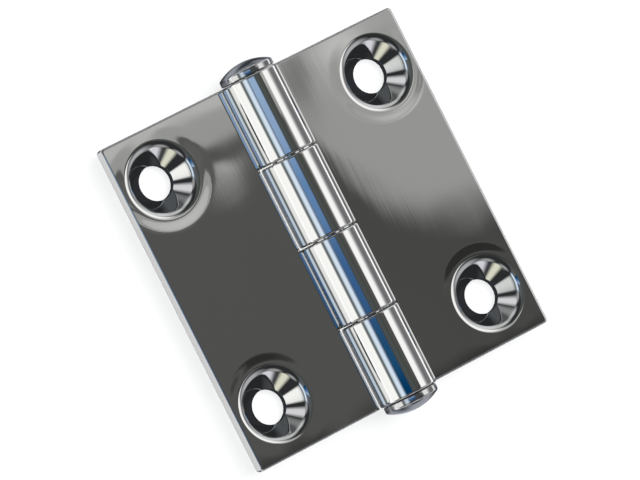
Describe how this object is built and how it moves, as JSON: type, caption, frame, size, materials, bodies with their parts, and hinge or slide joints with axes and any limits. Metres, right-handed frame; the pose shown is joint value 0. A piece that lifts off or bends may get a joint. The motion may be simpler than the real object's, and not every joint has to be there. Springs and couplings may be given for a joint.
{
  "type": "butt hinge",
  "caption": "Square sheet-steel butt hinge with rolled knuckles on a headed pin and pressed countersunk screw holes.",
  "frame": {"origin": "middle of the pin's axis, halfway along the barrel", "axes": "+Y along the pin, +X to the right leaf with the hinge open flat, +Z out of the countersunk side"},
  "size_m": [0.04, 0.0436, 0.007],
  "materials": {
    "polished_sheet": "mirror-polished stainless steel sheet",
    "polished_pin": "polished stainless steel rod with formed heads"
  },
  "bodies": {
    "left_leaf": {"left_leaf": "polished_sheet", "hinge_pin": "polished_pin"},
    "right_leaf": {"right_leaf": "polished_sheet"}
  },
  "joints": [
    {"name": "hinge_swing", "type": "hinge", "parent": "left_leaf", "child": "right_leaf", "pos_m": [0, 0, 0], "axis": [0, -1, 0], "range_deg": [-118, 180]}
  ]
}
